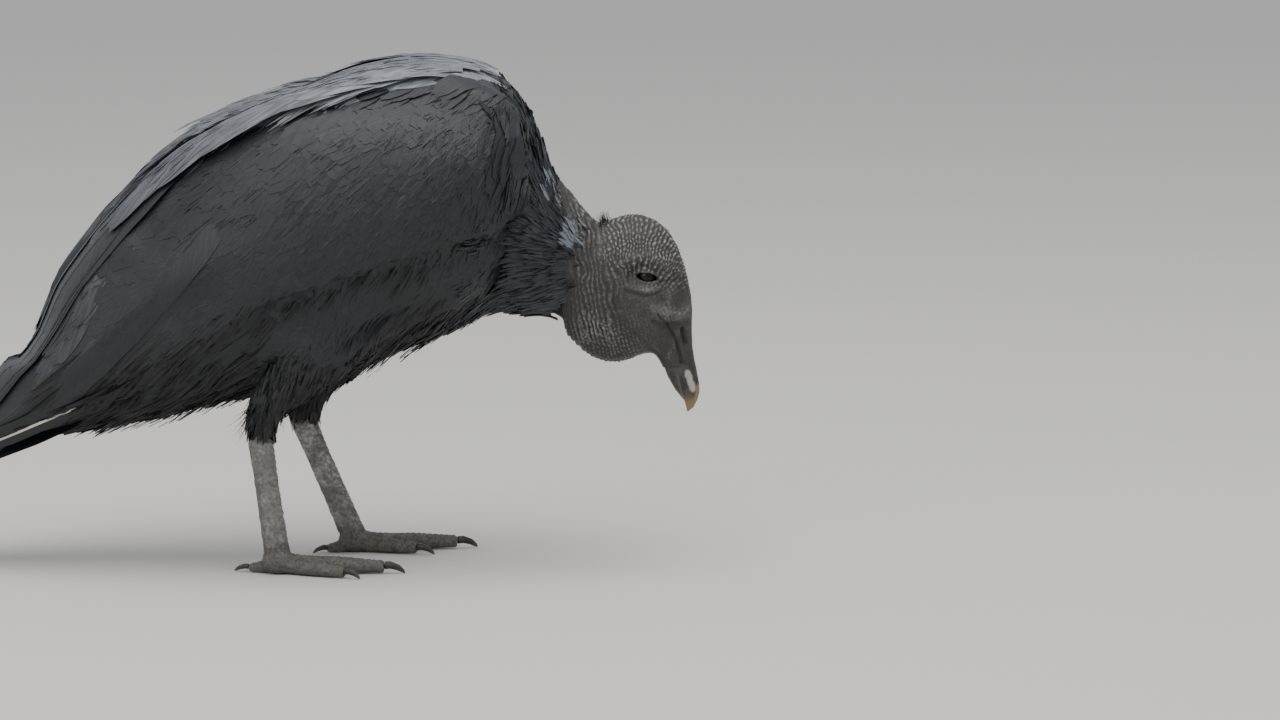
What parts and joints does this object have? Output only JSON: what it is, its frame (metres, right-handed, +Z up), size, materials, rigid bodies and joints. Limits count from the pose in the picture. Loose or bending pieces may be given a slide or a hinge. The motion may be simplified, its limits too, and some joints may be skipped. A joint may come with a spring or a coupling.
{
  "type": "black vulture",
  "caption": "Life-size still model of a black vulture: hunched stance, folded wings, bare wrinkled head lowered to the ground, for a museum or natural scene.",
  "frame": {"origin": "middle of the footprint of the bird's bounding box, on the floor it stands on", "axes": "+X towards the bill, +Y to the bird's left, +Z up"},
  "size_m": [0.4528, 0.1538, 0.2904],
  "materials": {
    "plumage": "black contour feathers with a cool grey sheen",
    "flight_feathers": "black vanes, faint blue-grey gloss, pale shafts on the outer primaries",
    "bare_skin": "grey-black wrinkled bare skin",
    "shin_skin": "whitish grey scaled skin",
    "toe_skin": "dark grey scaled skin, dusty",
    "horn": "dark horn with a pale ivory tip",
    "claw": "black worn horn",
    "eye": "wet dark brown"
  },
  "bodies": {
    "root": {"trunk": "plumage", "neck": "plumage", "head": "bare_skin", "bill_upper": "horn", "bill_lower": "horn", "eye_right": "eye", "eye_left": "eye", "tail": "flight_feathers", "wing_coverts_right": "plumage", "wing_secondaries_right": "flight_feathers", "wing_primaries_right": "flight_feathers", "thigh_right": "plumage", "tarsus_right": "shin_skin", "foot_right": "toe_skin", "toe_inner_right": "toe_skin", "claw_inner_right": "claw", "toe_middle_right": "toe_skin", "claw_middle_right": "claw", "toe_outer_right": "toe_skin", "claw_outer_right": "claw", "toe_hallux_right": "toe_skin", "claw_hallux_right": "claw", "wing_coverts_left": "plumage", "wing_secondaries_left": "flight_feathers", "wing_primaries_left": "flight_feathers", "thigh_left": "plumage", "tarsus_left": "shin_skin", "foot_left": "toe_skin", "toe_inner_left": "toe_skin", "claw_inner_left": "claw", "toe_middle_left": "toe_skin", "claw_middle_left": "claw", "toe_outer_left": "toe_skin", "claw_outer_left": "claw", "toe_hallux_left": "toe_skin", "claw_hallux_left": "claw"}
  },
  "joints": []
}
